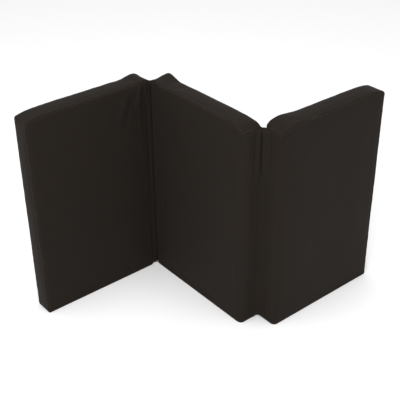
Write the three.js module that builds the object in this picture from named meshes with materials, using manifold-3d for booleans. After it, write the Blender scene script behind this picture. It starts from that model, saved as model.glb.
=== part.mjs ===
// Three-pad folding foam mattress, standing on one long edge with its pads in a zigzag.
// Millimetres, +Z up. The middle pad runs along X and is centred over the origin, the left pad comes
// forward from it towards -Y, and the right pad goes back from it towards +Y.
import * as THREE from "three";
import { mergeVertices } from "three/addons/utils/BufferGeometryUtils.js";
import Module from "manifold-3d";

const wasm = await Module();
wasm.setup();

// ---- The mattress ----
const openLength = 1905; // end to end with the three pads opened flat
const mattressWidth = 991; // across the bed, which is the height as it stands
const padThickness = 102;

// ---- Folds ----
const foldGap = 4; // from a fold's axis to the end face of each pad beside it
const foldStandoff = 3; // from a fold's axis to the faces that it joins
const foldStripLap = 12; // how far a fold strip is sewn over its pad's face
const foldStripThickness = 2.4;
const foldStripEndMargin = 6; // the strips stop this far short of the long edges
const foldSeamRadius = 1.5; // rolled seam allowance on the fold's axis
const foldSeamClearance = 0.5;
const seamSides = 12;

// ---- Cover, fire-barrier sock and foam ----
const coverThickness = 2.5; // cloth with its lining
const seamGap = 0.3; // between pieces that touch
const linerThickness = 1;
const linerClearance = 1; // from the cover to the sock, and from the sock to the foam

// ---- Zip in the bottom boxing of each pad ----
const zipEndMargin = 45; // from the pad's end to the end of the zip's slot
const zipSlotWidth = 12;
const zipHemWidth = 8; // folded hem of the boxing along the slot
const zipHemThickness = 4.6;
const zipTapeWidth = 14;
const zipTapeThickness = 0.8;
const zipTapeTail = 10; // tape beyond each end of the slot
const zipTeethSlit = 1.2; // between the two rows of teeth, for the slider's web
const zipTeethRadius = 1.1;
const teethSides = 8;
const zipTeethSink = 0.4; // how deep the teeth's thread lies in the tape
const zipStopLength = 5;
const zipPullMargin = 2; // from the slot's end to the pull's tip with the zip open
const sliderClearance = 0.3;
const sliderLength = 11;
const sliderWidth = 9;
const sliderNose = 3; // chamfer at each corner of the slider
const sliderPlate = 1;
const sliderWeb = 0.6;
const sliderWebLength = 4;
const loopLength = 5; // small loop under the slider that holds the pull
const loopWidth = 1.2;
const loopThickness = 0.6;
const pullThickness = 0.8;
const pullWidth = 6;
const pullRail = 1.4; // width of the bars round the pull's eye
const pullEyeLength = 7;
const pullTabLength = 26;

// ---- Mesh making ----
const mergeDistance = 1e-4; // vertices closer than this are one
const cutMargin = 1; // how far a cutting solid passes through what it cuts

// ---- Care label ----
const labelWidth = 34;
const labelHeight = 58;
const labelThickness = 0.8;
const labelBottom = 60;
const labelInset = 47; // from the pad's front face, clear of the cloth joined to its end

// ---- Worked out from the sizes above ----
const padWidth = (openLength - 4 * foldGap) / 3;
const mitreInset = seamGap / Math.SQRT2;
const padSize = [padWidth, padThickness, mattressWidth];
const leftFold = { x: -padWidth / 2 - foldGap, y: -padThickness / 2 - foldStandoff };
const rightFold = { x: -leftFold.x, y: -leftFold.y };
const tapeBottom = zipHemThickness + seamGap;
const tapeTop = tapeBottom + zipTapeThickness;
const teethTop = tapeTop - zipTeethSink + 2 * zipTeethRadius;
const sliderInnerTop = teethTop + sliderClearance + sliderPlate;
const sliderOuterTop = tapeBottom - sliderClearance;
const sliderOuterBottom = sliderOuterTop - sliderPlate;
const pullMiddle = sliderOuterBottom - sliderClearance - pullThickness / 2;
const loopHeight = 2 * sliderClearance + pullThickness + loopThickness;
const linerInset = coverThickness + linerClearance;
const linerBottom = sliderInnerTop + linerClearance;
const foamInset = linerInset + linerThickness + linerClearance;
const foamBottom = linerBottom + linerThickness + linerClearance;
const sliderShut = padWidth - zipEndMargin - sliderLength; // the slider's centre with the zip shut
const sliderOpen = zipEndMargin + zipPullMargin + pullEyeLength + pullTabLength; // and with it open
const openStopEnd = sliderOpen - sliderLength / 2 - sliderClearance;
const shutStopStart = padWidth - zipEndMargin + zipTapeTail - zipStopLength;

// ---- Materials ----
const finish = (color, roughness, metalness = 0) =>
  new THREE.MeshStandardMaterial({ color, roughness, metalness });
const coverCloth = finish(0x2a2522, 0.92);
const seamCloth = finish(0x201c1a, 0.9);
const foam = finish(0xe9dfc4, 0.95);
const barrierKnit = finish(0xe4e2dc, 0.95);
const zipTape = finish(0x191716, 0.8);
const zipMetal = finish(0x3a3836, 0.35, 0.9);
const labelSatin = finish(0xe8e6e1, 0.6);

// ---- Solids ----
// A box between two corners.
function box(low, high) {
  const size = high.map((value, k) => value - low[k]);
  const middle = high.map((value, k) => (value + low[k]) / 2);
  return new THREE.BoxGeometry(...size).translate(...middle);
}

// A flat outline in X and Y, made thick between two heights.
function slab(points, bottom, top) {
  const outline = new THREE.Shape(points.map(([x, y]) => new THREE.Vector2(x, y)));
  const depth = top - bottom;
  return new THREE.ExtrudeGeometry(outline, { depth, bevelEnabled: false }).translate(0, 0, bottom);
}

function manifold(geometry) {
  const bare = geometry.clone();
  bare.deleteAttribute("normal");
  bare.deleteAttribute("uv");
  const merged = mergeVertices(bare, mergeDistance);
  const vertProperties = merged.attributes.position.array;
  const triVerts = merged.index.array;
  return new wasm.Manifold(new wasm.Mesh({ numProp: 3, vertProperties, triVerts }));
}

function geometryOf(solid) {
  const mesh = solid.getMesh();
  const geometry = new THREE.BufferGeometry();
  geometry.setAttribute("position", new THREE.BufferAttribute(mesh.vertProperties, 3));
  geometry.setIndex(new THREE.BufferAttribute(mesh.triVerts, 1));
  geometry.computeVertexNormals();
  return geometry;
}

// The first geometry with the others joined to it, less what the cutters take away.
function carved(parts, cutters = []) {
  let solid = manifold(parts[0]);
  for (const part of parts.slice(1)) solid = solid.add(manifold(part));
  for (const cutter of cutters) solid = solid.subtract(manifold(cutter));
  return geometryOf(solid);
}

function piece(name, geometry, material) {
  const mesh = new THREE.Mesh(geometry, material);
  mesh.name = name;
  return mesh;
}

// ---- Pad pieces, in the pad's own frame: X along the pad from its left end, Y in from its front
// face, Z up from its bottom edge ----

// One wall of the cover, mitred at 45 degrees to meet its four neighbours at the seams.
// axis is the direction that it faces, and outward is -1 for the low side and 1 for the high side.
function coverWall(axis, outward) {
  const size = padSize.map((value, k) => (k === axis ? coverThickness : value - 2 * mitreInset));
  const geometry = new THREE.BoxGeometry(...size);
  const corners = geometry.attributes.position;
  for (let i = 0; i < corners.count; i++) {
    const corner = [corners.getX(i), corners.getY(i), corners.getZ(i)];
    const isInner = corner[axis] * outward < 0;
    const placed = corner.map((value, k) => {
      const drawnIn = isInner && k !== axis ? Math.sign(value) * coverThickness : 0;
      const toFace = k === axis ? (outward * (padSize[k] - coverThickness)) / 2 : 0;
      return padSize[k] / 2 + value - drawnIn + toFace;
    });
    corners.setXYZ(i, ...placed);
  }
  return geometry;
}

// Half of the bottom boxing, with its folded hem along the zip. side is -1 in front, 1 behind.
function bottomBoxing(side) {
  const middle = padThickness / 2;
  const past = padThickness; // clear of the pad
  const half = (low, high) => [Math.min(low, high), Math.max(low, high)];
  const band = (from, to, left, right, bottom, top) => {
    const [near, far] = half(middle + side * from, middle + side * to);
    return box([left, near, bottom], [right, far, top]);
  };
  const slotHalf = zipSlotWidth / 2;
  const hemLeft = zipEndMargin;
  const hemRight = padWidth - zipEndMargin;
  const hem = band(slotHalf, slotHalf + zipHemWidth, hemLeft, hemRight, 0, zipHemThickness);
  const otherHalf = band(seamGap / 2, -past, -past, padWidth + past, -past, past);
  const slot = band(slotHalf, -past, hemLeft, hemRight, -past, past);
  return carved([coverWall(2, -1), hem], [otherHalf, slot]);
}

// Sock round the foam, closed along the bottom and open along the top.
function foamLiner() {
  const low = [linerInset, linerInset, linerBottom];
  const high = [padWidth - linerInset, padThickness - linerInset, mattressWidth - linerInset];
  const room = box(
    low.map((value) => value + linerThickness),
    high.map((value, k) => (k === 2 ? value + linerThickness : value - linerThickness)),
  );
  return carved([box(low, high)], [room]);
}

function foamCore() {
  const high = padSize.map((value) => value - foamInset);
  return box([foamInset, foamInset, foamBottom], high);
}

// One side of the zip: its tape with the row of teeth along the edge.
function zipHalf(side) {
  const middle = padThickness / 2;
  const edge = middle + (side * zipTeethSlit) / 2;
  const selvage = edge + side * zipTapeWidth;
  const left = zipEndMargin - zipTapeTail;
  const right = padWidth - left;
  const tape = box(
    [left, Math.min(edge, selvage), tapeBottom],
    [right, Math.max(edge, selvage), tapeTop],
  );
  const teethLength = shutStopStart - openStopEnd - 2 * seamGap;
  const teethMiddle = (shutStopStart + openStopEnd) / 2;
  const teeth = new THREE.CylinderGeometry(zipTeethRadius, zipTeethRadius, teethLength, teethSides)
    .rotateZ(Math.PI / 2)
    .translate(teethMiddle, edge + side * zipTeethRadius, teethTop - zipTeethRadius);
  return carved([tape, teeth]);
}

// Stop clamped across both tapes, starting at a place along the pad.
function zipStop(from) {
  const halfWidth = sliderWidth / 2;
  const middle = padThickness / 2;
  return box(
    [from, middle - halfWidth, tapeTop + seamGap],
    [from + zipStopLength, middle + halfWidth, teethTop],
  );
}

// Slider: a plate inside the teeth, a plate outside the tapes, the web that joins them through the
// slit, and the small loop that holds the pull.
function zipSlider() {
  const middle = padThickness / 2;
  const halfLength = sliderLength / 2;
  const halfWidth = sliderWidth / 2;
  const outline = [
    [-halfLength, -halfWidth + sliderNose],
    [-halfLength + sliderNose, -halfWidth],
    [halfLength - sliderNose, -halfWidth],
    [halfLength, -halfWidth + sliderNose],
    [halfLength, halfWidth - sliderNose],
    [halfLength - sliderNose, halfWidth],
    [-halfLength + sliderNose, halfWidth],
    [-halfLength, halfWidth - sliderNose],
  ];
  const inner = slab(outline, sliderInnerTop - sliderPlate, sliderInnerTop);
  const outer = slab(outline, sliderOuterBottom, sliderOuterTop);
  const web = box(
    [-sliderWebLength / 2, -sliderWeb / 2, sliderOuterBottom],
    [sliderWebLength / 2, sliderWeb / 2, sliderInnerTop],
  );
  const loopBottom = sliderOuterBottom - loopHeight;
  const loop = box(
    [-loopLength / 2, -loopWidth / 2, loopBottom],
    [loopLength / 2, loopWidth / 2, sliderOuterTop],
  );
  const eyeHalf = loopLength / 2 - loopThickness;
  const eye = box(
    [-eyeHalf, -sliderWidth, loopBottom + loopThickness],
    [eyeHalf, sliderWidth, sliderOuterBottom],
  );
  return carved([carved([loop], [eye]), outer, web, inner]).translate(sliderShut, middle, 0);
}

// Pull: a flat tab with an eye whose end bar lies in the slider's loop. It is stored lying along
// the slot, towards the open end of the zip.
function zipPull() {
  const middle = padThickness / 2;
  const halfWidth = pullWidth / 2;
  const halfBar = pullThickness / 2;
  const low = pullMiddle - halfBar;
  const high = pullMiddle + halfBar;
  const length = pullEyeLength + pullTabLength;
  const tab = box([-length, -halfWidth, low], [halfBar, halfWidth, high]);
  const eye = box(
    [-pullEyeLength, -halfWidth + pullRail, low - cutMargin],
    [-halfBar, halfWidth - pullRail, high + cutMargin],
  );
  return carved([tab], [eye]).translate(sliderShut, middle, 0);
}

// Cloth strip from a pad's face to a fold's axis. atRight puts it at the pad's right end, and
// behind puts it on the back face.
function foldStrip(atRight, behind) {
  const toAxis = foldGap - foldSeamRadius - foldSeamClearance;
  const along = atRight
    ? [padWidth - foldStripLap, padWidth + toAxis]
    : [-toAxis, foldStripLap];
  const proud = [seamGap, seamGap + foldStripThickness];
  const across = behind
    ? proud.map((value) => padThickness + value)
    : [-proud[1], -proud[0]];
  return box(
    [along[0], across[0], foldStripEndMargin],
    [along[1], across[1], mattressWidth - foldStripEndMargin],
  );
}

// Blank label sewn to the pad's right end.
function careLabel() {
  return box(
    [padWidth + seamGap, labelInset, labelBottom],
    [padWidth + seamGap + labelThickness, labelInset + labelWidth, labelBottom + labelHeight],
  );
}

// All the pieces that each pad has.
function pad(name) {
  const group = new THREE.Group();
  group.add(
    piece(`${name}_foam_core`, foamCore(), foam),
    piece(`${name}_foam_liner`, foamLiner(), barrierKnit),
    piece(`${name}_front_panel`, coverWall(1, -1), coverCloth),
    piece(`${name}_back_panel`, coverWall(1, 1), coverCloth),
    piece(`${name}_left_end`, coverWall(0, -1), coverCloth),
    piece(`${name}_right_end`, coverWall(0, 1), coverCloth),
    piece(`${name}_top_boxing`, coverWall(2, 1), coverCloth),
    piece(`${name}_bottom_boxing_front`, bottomBoxing(-1), coverCloth),
    piece(`${name}_bottom_boxing_back`, bottomBoxing(1), coverCloth),
    piece(`${name}_zip_front_tape`, zipHalf(-1), zipTape),
    piece(`${name}_zip_back_tape`, zipHalf(1), zipTape),
    piece(`${name}_zip_open_stop`, zipStop(openStopEnd - zipStopLength), zipMetal),
    piece(`${name}_zip_shut_stop`, zipStop(shutStopStart), zipMetal),
    piece(`${name}_zip_slider`, zipSlider(), zipMetal),
    piece(`${name}_zip_pull`, zipPull(), zipMetal),
  );
  return group;
}

// Rolled seam on a fold's axis.
function foldSeam(name, fold) {
  const length = mattressWidth - 2 * foldStripEndMargin;
  const rod = new THREE.CylinderGeometry(foldSeamRadius, foldSeamRadius, length, seamSides);
  const mesh = piece(name, rod.rotateX(Math.PI / 2), seamCloth);
  mesh.position.set(fold.x, fold.y, mattressWidth / 2);
  return mesh;
}

// ---- Assembly ----
const mattress = new THREE.Group();

const middlePad = pad("middle");
middlePad.position.set(-padWidth / 2, -padThickness / 2, 0);
middlePad.add(
  piece("left_fold_strip_middle", foldStrip(false, false), seamCloth),
  piece("right_fold_strip_middle", foldStrip(true, true), seamCloth),
);

// The outer pads are turned so that their length runs along Y and their front faces look along X.
const leftPad = pad("left");
leftPad.rotation.z = Math.PI / 2;
leftPad.position.set(leftFold.x - foldStandoff, leftFold.y - foldGap - padWidth, 0);
leftPad.add(
  piece("left_fold_strip_left", foldStrip(true, false), seamCloth),
  piece("care_label", careLabel(), labelSatin),
);

const rightPad = pad("right");
rightPad.rotation.z = Math.PI / 2;
rightPad.position.set(
  rightFold.x + foldStandoff + padThickness,
  rightFold.y + foldGap,
  0,
);
rightPad.add(piece("right_fold_strip_right", foldStrip(false, true), seamCloth));

mattress.add(
  leftPad,
  middlePad,
  rightPad,
  foldSeam("left_fold_seam", leftFold),
  foldSeam("right_fold_seam", rightFold),
);

export default mattress;
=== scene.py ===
"""Looks of a three-pad folding foam mattress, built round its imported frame.

Every pad is drawn in its own coordinates: along the pad from its left end, in from its front face, and
up from its bottom edge. place() then sets it where the frame has that pad.
"""

import math

import bmesh
import bpy
import numpy as np
from mathutils import Matrix, Vector


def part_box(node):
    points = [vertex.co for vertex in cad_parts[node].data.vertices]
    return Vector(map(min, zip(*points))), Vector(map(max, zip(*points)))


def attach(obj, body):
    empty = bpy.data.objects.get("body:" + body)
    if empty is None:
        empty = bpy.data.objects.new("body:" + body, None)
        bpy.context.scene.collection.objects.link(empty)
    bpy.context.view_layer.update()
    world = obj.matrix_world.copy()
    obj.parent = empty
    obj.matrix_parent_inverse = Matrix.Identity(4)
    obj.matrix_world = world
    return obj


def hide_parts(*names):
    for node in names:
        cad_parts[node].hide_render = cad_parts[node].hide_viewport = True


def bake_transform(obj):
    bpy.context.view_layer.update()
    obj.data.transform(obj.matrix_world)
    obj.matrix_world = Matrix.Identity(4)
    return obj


bl_info = {
    "name": "Folding Foam Mattress",
    "version": (1, 0, 0),
    "blender": (4, 5, 0),
    "location": "View3D > Sidebar > Mattress",
    "description": "Cloth covers, folds, zips and foam of a three-pad folding mattress",
    "category": "Object",
}

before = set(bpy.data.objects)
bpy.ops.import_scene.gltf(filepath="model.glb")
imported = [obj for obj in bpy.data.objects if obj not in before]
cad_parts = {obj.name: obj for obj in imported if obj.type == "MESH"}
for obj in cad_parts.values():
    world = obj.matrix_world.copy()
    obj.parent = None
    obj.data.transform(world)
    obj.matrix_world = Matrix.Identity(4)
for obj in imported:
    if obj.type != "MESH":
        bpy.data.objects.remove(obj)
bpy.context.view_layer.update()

PADS = ("left", "middle", "right")
COVER_NODES = (
    "front_panel",
    "back_panel",
    "left_end",
    "right_end",
    "top_boxing",
    "bottom_boxing_front",
    "bottom_boxing_back",
)
# The face that each pad's end is hinged at. An end that is left out is free.
HINGED = {
    "left": {"right_end": "front"},
    "middle": {"left_end": "front", "right_end": "back"},
    "right": {"left_end": "back"},
}
ALONG, IN, UP = range(3)
WEB_DEPTH = 0.042  # from a fold's hinged faces to where its web is sewn to the pads' ends
COVER_CLOTH = "woven cover cloth"


# ---- Settings ----


def metres(name, default, description):
    return bpy.props.FloatProperty(
        name=name, description=description, default=default, unit="LENGTH"
    )


def degrees(name, value, description):
    return bpy.props.FloatProperty(
        name=name, description=description, default=math.radians(value), subtype="ANGLE"
    )


class MattressCover(bpy.types.PropertyGroup):
    """Shape and colour of the cloth covers."""

    edge: metres("Edge", 0.010, "Radius of the long edges")
    foot: metres("Foot", 0.002, "Radius of the edges that it stands on")
    corner: metres("Corner", 0.007, "Radius of the free upright edges")
    crease: metres("Crease", 0.009, "Radius of the other pads' edges beside the folds' seams")
    soft_crease: metres(
        "Soft crease", 0.034, "Radius of the left pad's edge beside the fold's seam"
    )
    groove: metres("Groove", 0.05, "Radius of the edge beside a fold's open side")
    crown: metres("Crown", 0.0022, "How far a face swells in its middle")
    peak: metres("Peak", 0.021, "Rise of the left pad's top corner on the open side of the fold")
    middle_peak: metres(
        "Middle peak", 0.031, "Rise of the middle pad's top corner on the same side"
    )
    valley: metres("Valley", 0.018, "Rise of both pads' tops beside the left fold's seam")
    hump: metres("Hump", 0.015, "Rise of the right pad's top a little way along from the groove")
    top_bow: metres("Top bow", 0.018, "How far the top edges rise in their middle")
    shoulder: metres("Shoulder", 0.014, "How far the top dips beside a groove")
    puff: metres("Puff", 0.004, "Most that the cloth lifts off the foam")
    ease: bpy.props.FloatProperty(
        name="Ease", description="Spare cloth, as a share of its size", default=0.006,
        subtype="FACTOR",
    )
    room: metres("Room", 0.0017, "How far the faces that meet in a shut fold are drawn back")
    slack: metres("Slack", 0.0011, "Height of the cloth's soft ripples")
    cloth: metres("Cloth", 0.0007, "Thickness of the cloth")
    colour: bpy.props.FloatVectorProperty(
        name="Colour", description="Colour of the woven cloth", default=(0.0097, 0.0066, 0.0043),
        subtype="COLOR", size=3,
    )


class MattressFolds(bpy.types.PropertyGroup):
    """The cloth between the pads."""

    welt: metres(
        "Welt", 0.0044, "How proud the rolled strip beside a crease stands on the middle pad"
    )
    roll: metres("Roll", 0.0021, "Radius of the rolled seam on a fold's axis")


class MattressStage(bpy.types.PropertyGroup):
    """Camera, floor and lamps."""

    camera_from_fold: bpy.props.FloatVectorProperty(
        name="Camera", description="Camera's place, from the foot of the left fold",
        default=(2.862, -2.041, 2.532), subtype="TRANSLATION", size=3,
    )
    camera_heading: degrees("Heading", 50.89, "Turn of the camera from looking along +Y")
    camera_pitch: degrees("Pitch", 31.58, "How far the camera looks down")
    camera_roll: degrees("Roll", -0.58, "Turn of the camera about its own view")
    lens: bpy.props.FloatProperty(
        name="Lens", description="Focal length in millimetres", default=75.8
    )


# ---- Small helpers ----


def smooth(t):
    """0 before 0, 1 after 1, and an S curve between."""
    t = np.clip(t, 0.0, 1.0)
    return t * t * (3 - 2 * t)


def bell(values, centre, width):
    """1 at the centre, and falling away on both sides."""
    return np.exp(-(((values - centre) / width) ** 2))


def coordinates(mesh):
    found = np.empty(len(mesh.vertices) * 3, np.float64)
    mesh.vertices.foreach_get("co", found)
    return found.reshape(-1, 3)


def set_coordinates(mesh, points):
    mesh.vertices.foreach_set("co", np.ascontiguousarray(points, np.float32).ravel())
    mesh.update()


def vertex_normals(mesh):
    found = np.empty(len(mesh.vertices) * 3, np.float32)
    mesh.vertex_normals.foreach_get("vector", found)
    return found.reshape(-1, 3).astype(float)


def mesh_of(bm, name):
    for face in bm.faces:
        face.smooth = True
    mesh = bpy.data.meshes.new(name)
    bm.to_mesh(mesh)
    bm.free()
    return mesh


def new_object(name, mesh):
    made = bpy.data.objects.new(name, mesh)
    bpy.context.scene.collection.objects.link(made)
    return made


def evaluated_copy(obj):
    """A mesh with the object's modifiers applied."""
    depsgraph = bpy.context.evaluated_depsgraph_get()
    return bpy.data.meshes.new_from_object(obj.evaluated_get(depsgraph), depsgraph=depsgraph)


def thicken(obj, thickness, offset=-1):
    modifier = obj.modifiers.new("Thickness", "SOLIDIFY")
    modifier.thickness = thickness
    modifier.offset = offset


def soften(obj):
    """Divides the mesh once, into a smoother one."""
    modifier = obj.modifiers.new("Smooth", "SUBSURF")
    modifier.levels = modifier.render_levels = 1


def ripples(points, wavelength, seed):
    """A smooth random height over points, about 1 at most, from a sum of sine waves."""
    waves = 14
    draw = np.random.default_rng(seed)
    directions = draw.normal(size=(waves, 3))
    directions /= np.linalg.norm(directions, axis=1)[:, None]
    lengths = wavelength * draw.uniform(0.7, 1.8, waves)
    phases = draw.uniform(0, 2 * math.pi, waves)
    angles = points @ (directions / lengths[:, None]).T * 2 * math.pi + phases
    return np.sin(angles).sum(axis=1) / math.sqrt(waves) * 0.7


# ---- The frame's pads ----


class Placed:
    """What is drawn in its own coordinates, and set in the row by a matrix."""

    def place(self, obj):
        obj.data.transform(self.matrix)
        obj.data.update()


class Pad(Placed):
    """One pad: its size, and the matrix from its own coordinates to the row's."""

    def __init__(self, name):
        self.name = name
        boxes = [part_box(f"{name}_{node}") for node in COVER_NODES]
        low = Vector(min(b[0][k] for b in boxes) for k in range(3))
        high = Vector(max(b[1][k] for b in boxes) for k in range(3))
        front, back = ((b[0] + b[1]) / 2 for b in boxes[:2])
        inward = (back - front).normalized()
        along = inward.cross(Vector((0, 0, 1)))
        extent = high - low
        self.size = (abs(extent.dot(along)), abs(extent.dot(inward)), extent.z)
        corner = (low + high) / 2 - along * self.size[0] / 2 - inward * self.size[1] / 2
        corner.z = low.z
        self.matrix = Matrix((
            (along.x, inward.x, 0, corner.x),
            (along.y, inward.y, 0, corner.y),
            (0, 0, 1, corner.z),
            (0, 0, 0, 1),
        ))
        self.hinged = HINGED[name]
        self.body = f"{name}_pad"

    def from_end(self, end, flat):
        """Distance of laid out points from the pad's left or right end."""
        return flat[:, ALONG] if end == "left_end" else self.size[ALONG] - flat[:, ALONG]


def local_box(pad, node):
    low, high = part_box(node)
    to_pad = pad.matrix.inverted()
    ends = np.array([to_pad @ low, to_pad @ high])
    return ends.min(axis=0), ends.max(axis=0)


def fold_axis(side):
    low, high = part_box(f"{side}_fold_seam")
    return (low + high) / 2


# ---- Cover shape ----


def cut_places(length, fine, fine_band, coarse, extra=()):
    """Places to slice a side: close together near both ends, and further apart between."""
    near = [fine * k for k in range(1, int(fine_band / fine) + 1)]
    start = near[-1]
    count = max(1, round((length - 2 * start) / coarse))
    between = [start + (length - 2 * start) * k / count for k in range(1, count)]
    places = near + between + [length - place for place in near]
    kept = [p for p in places if all(abs(p - e) > fine * 0.45 for e in extra)]
    return sorted(kept + list(extra))


def sliced_box(size, cuts):
    """A closed box with a line of edges round it at every cut."""
    bm = bmesh.new()
    bmesh.ops.create_cube(bm, size=1.0)
    bmesh.ops.translate(bm, verts=bm.verts, vec=(0.5, 0.5, 0.5))
    bmesh.ops.scale(bm, verts=bm.verts, vec=size)
    for axis in (IN, ALONG, UP):
        normal = Vector((0, 0, 0))
        normal[axis] = 1
        for place in cuts[axis]:
            geometry = bm.verts[:] + bm.edges[:] + bm.faces[:]
            bmesh.ops.bisect_plane(
                bm, geom=geometry, dist=1e-6, plane_co=normal * place, plane_no=normal
            )
    return bm


def rounded_long_edges(flat, size, top_radius, foot_radius):
    """Rounds the four long edges and the ends' top and bottom edges of a box's points."""
    radius = np.where(flat[:, UP] > size[UP] / 2, top_radius, foot_radius)

    def drawn_in(distance):
        reach = np.clip(radius - distance, 0, radius)
        return np.where(
            distance < radius, radius - radius * reach / np.hypot(radius, reach), distance
        )

    width, thickness, height = size
    along, inward, up = flat.T
    edge_distance = np.minimum.reduce([along, width - along, inward, thickness - inward])
    level = np.minimum(up, height - up)
    wall = np.clip(radius - level, 0, radius)
    wall_inset = radius - radius * radius / np.hypot(radius, wall)
    full_inset = radius * (1 - math.sqrt(0.5))
    on_cap = level < 1e-7
    share = np.where(on_cap, 1.0, np.where(level < radius, wall_inset / full_inset, 0.0))
    sideways = np.where(on_cap, np.clip(radius - edge_distance, 0, radius), radius)
    rise = np.where(on_cap, radius, wall)
    new_level = radius - radius * rise / np.hypot(sideways, rise)
    new_level = np.where(on_cap | (level < radius), new_level, level)
    top = up > height / 2
    shaped = np.empty_like(flat)
    for axis, length in ((ALONG, width), (IN, thickness)):
        value = flat[:, axis]
        near = np.minimum(value, length - value)
        moved = near + (drawn_in(near) - near) * share
        shaped[:, axis] = np.where(value < length / 2, moved, length - moved)
    shaped[:, UP] = np.where(top, height - new_level, new_level)
    return shaped


def rounded_upright_edges(points, size, radius_of):
    """Rounds the four upright edges. radius_of(end, face, heights) gives each one's radius."""
    width, thickness, _ = size
    shaped = points.copy()
    for end in (0, 1):
        for face in (0, 1):
            radius = radius_of(end, face, points[:, UP])
            along = width - points[:, ALONG] if end else points[:, ALONG]
            inward = thickness - points[:, IN] if face else points[:, IN]
            a, b = radius - along, radius - inward
            inside = (a > 0) & (b > 0)
            share = np.maximum(a, b) / np.maximum(np.hypot(a, b), 1e-9)
            new_along = radius - a * share
            new_inward = radius - b * share
            new_along = width - new_along if end else new_along
            new_inward = thickness - new_inward if face else new_inward
            shaped[:, ALONG] = np.where(inside, new_along, shaped[:, ALONG])
            shaped[:, IN] = np.where(inside, new_inward, shaped[:, IN])
    return shaped


def meeting(pad, flat):
    """1 on the faces that lie against another pad's when a fold is shut, and 0 elsewhere."""
    faces = {"front": flat[:, IN], "back": pad.size[IN] - flat[:, IN]}
    skin = 0.008
    return np.maximum.reduce([smooth(1 - faces[face] / skin) for face in pad.hinged.values()])


SLIVER = 1e-6  # less than this from a face counts as on it
# How far down the pad's sides the bow of the top and its corners' peaks reach, how far along the
# top a peak reaches from its end, and the hump's centre and width, measured from the groove.
BOW_DEPTH = 0.12
PEAK_DEPTH = 0.09
PEAK_REACH = 0.11
HUMP = (0.05, 0.08)


def pad_shape(pad, flat, cover):
    """Where the cover's points lie on the stuffed pad."""
    _, thickness, height = pad.size
    points = rounded_long_edges(flat, pad.size, cover.edge, cover.foot)

    def radius_of(end, face, heights):
        hinge = pad.hinged.get(("left_end", "right_end")[end])
        if hinge is None:
            return np.full(len(heights), cover.corner)
        if hinge == ("front", "back")[face]:
            soft = cover.soft_crease if pad.name == "left" else cover.crease
            near_top = smooth((height - heights) / 0.16)
            return cover.crease + (soft - cover.crease) * (0.35 + 0.65 * near_top)
        if hinge == "front":
            return cover.groove * (0.4 + 0.5 * smooth((height - heights) / 0.2))
        near_foot = 0.45 + 0.55 * smooth(heights / 0.16)
        return cover.groove * near_foot * (0.72 + 0.28 * smooth((height - heights) / 0.12))

    points = rounded_upright_edges(points, pad.size, radius_of)
    across, depth, level = (flat / np.array(pad.size) * 2 - 1).T
    bow = (1 - np.abs(across) ** 3) * (1 - np.abs(level) ** 3)
    front = (flat[:, IN] < SLIVER).astype(float)
    back = (flat[:, IN] > thickness - SLIVER).astype(float)
    points[:, IN] += cover.crown * (1 - 0.6 * meeting(pad, flat)) * bow * (back - front)
    end_bow = (1 - np.abs(depth) ** 3) * (1 - np.abs(level) ** 3)
    for end, sign in (("left_end", -1), ("right_end", 1)):
        side = across * sign > 1 - SLIVER
        swell = 0.6 if end in pad.hinged else 1.8
        points[:, ALONG] += sign * swell * cover.crown * end_bow * side
    top = flat[:, UP] > height - SLIVER
    lengthwise = 1 - np.abs(across) ** 6
    rise = smooth((flat[:, UP] - height + BOW_DEPTH) / BOW_DEPTH)
    points[:, UP] += cover.top_bow * lengthwise * rise
    points[:, UP] += cover.crown * lengthwise * (1 - np.abs(depth) ** 3) * top
    rise = smooth((flat[:, UP] - height + PEAK_DEPTH) / PEAK_DEPTH)
    for end, hinge in pad.hinged.items():
        from_end = pad.from_end(end, flat)
        from_front = flat[:, IN]
        if hinge == "front":
            peak = cover.middle_peak if pad.name == "middle" else cover.peak
            corner = cover.valley + (peak - cover.valley) * smooth(from_front / thickness)
            points[:, UP] += corner * smooth(1 - from_end / PEAK_REACH) * rise
        else:
            reach = 0.022 + 0.036 * smooth((thickness - from_front) / 0.06)
            dip = cover.shoulder * smooth(1 - from_end / reach)
            if pad.name == "right":
                dip *= 0.35 + 0.65 * smooth((thickness - from_front) / thickness)
            points[:, UP] -= dip * rise
            if pad.name == "right":
                hump = bell(from_end, *HUMP)
                hump *= 0.4 + 0.6 * smooth(from_front / thickness)
                points[:, UP] += cover.hump * hump * rise
    return points


# ---- Cloth details, added once the mesh is fine ----


def furrow(places, start, end, width):
    """Height from 0 to 1 of a soft ridge between two places, which fades at both ends."""
    start, end = np.array(start), np.array(end)
    line = end - start
    length = np.linalg.norm(line)
    share = (places - start) @ line / length**2
    nearest = start + np.clip(share, 0, 1)[:, None] * line
    distance = np.linalg.norm(places - nearest, axis=1)
    fade = smooth(share / 0.3 + 0.3) * smooth((1 - share) / 0.3 + 0.3)
    return bell(distance, 0, width) * fade


def seam_distance(pad, flat):
    """Distance over the cloth to the nearest seam. Beside a groove the face's cloth runs on round
    the edge, so its seam lies on the pad's end, where the web is sewn in."""
    width, thickness, height = pad.size
    along, inward, up = flat.T
    level = np.minimum(up, height - up)
    faces = {"front": inward, "back": thickness - inward}
    ends = {"left_end": along, "right_end": width - along}
    found = [np.hypot(distance, level) for distance in (*faces.values(), *ends.values())]
    for end, from_end in ends.items():
        hinge = pad.hinged.get(end)
        for face, from_face in faces.items():
            if hinge in (None, face):
                found.append(np.hypot(from_end, from_face))
        if hinge:
            found.append(np.hypot(from_end, faces[hinge] - WEB_DEPTH))
    return np.minimum.reduce(found)


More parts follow.
